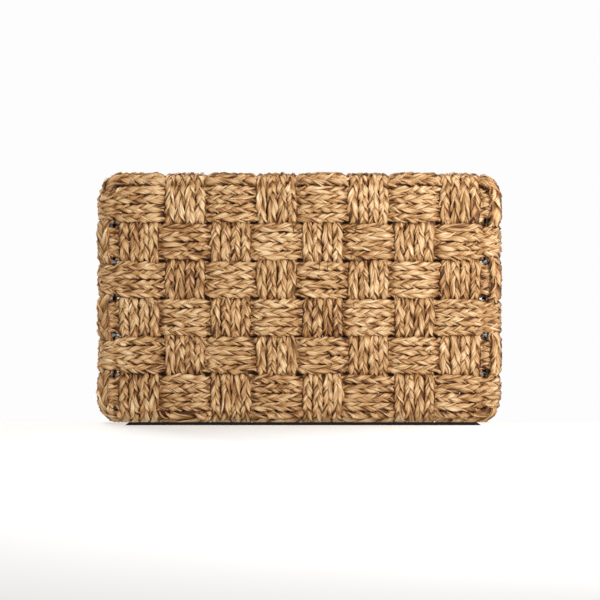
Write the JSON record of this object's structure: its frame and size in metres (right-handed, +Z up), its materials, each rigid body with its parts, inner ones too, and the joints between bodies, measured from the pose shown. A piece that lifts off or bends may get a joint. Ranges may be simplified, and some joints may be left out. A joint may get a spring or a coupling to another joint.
{
  "type": "bread basket",
  "caption": "Rectangular plaited bread basket with rounded corners: flat braided bands woven over a welded wire frame, open at the top.",
  "frame": {"origin": "centre of the underside, in the plane that the basket stands on", "axes": "+X along the long side, +Y along the short side, +Z up towards the open mouth"},
  "size_m": [0.36, 0.224, 0.096],
  "materials": {
    "plaited_grass": "matte",
    "frame_wire": "satin"
  },
  "bodies": {
    "root": {"cross_band_1": "plaited_grass", "cross_band_2": "plaited_grass", "cross_band_3": "plaited_grass", "cross_band_4": "plaited_grass", "cross_band_5": "plaited_grass", "cross_band_6": "plaited_grass", "cross_band_7": "plaited_grass", "cross_band_8": "plaited_grass", "long_band_1": "plaited_grass", "long_band_2": "plaited_grass", "long_band_3": "plaited_grass", "long_band_4": "plaited_grass", "long_band_5": "plaited_grass", "long_band_6": "plaited_grass", "wall_band_lower": "plaited_grass", "wall_band_upper": "plaited_grass", "rim_braid": "plaited_grass", "base_ring": "frame_wire", "rim_ring": "frame_wire", "base_crossbar_1": "frame_wire", "base_crossbar_2": "frame_wire", "base_crossbar_3": "frame_wire", "base_crossbar_4": "frame_wire", "base_crossbar_5": "frame_wire", "base_crossbar_6": "frame_wire", "base_crossbar_7": "frame_wire", "front_post_1": "frame_wire", "front_post_2": "frame_wire", "front_post_3": "frame_wire", "back_post_1": "frame_wire", "back_post_2": "frame_wire", "back_post_3": "frame_wire", "left_post_1": "frame_wire", "left_post_2": "frame_wire", "right_post_1": "frame_wire", "right_post_2": "frame_wire", "corner_post_front_left": "frame_wire", "corner_post_front_right": "frame_wire", "corner_post_back_left": "frame_wire", "corner_post_back_right": "frame_wire"}
  },
  "joints": []
}
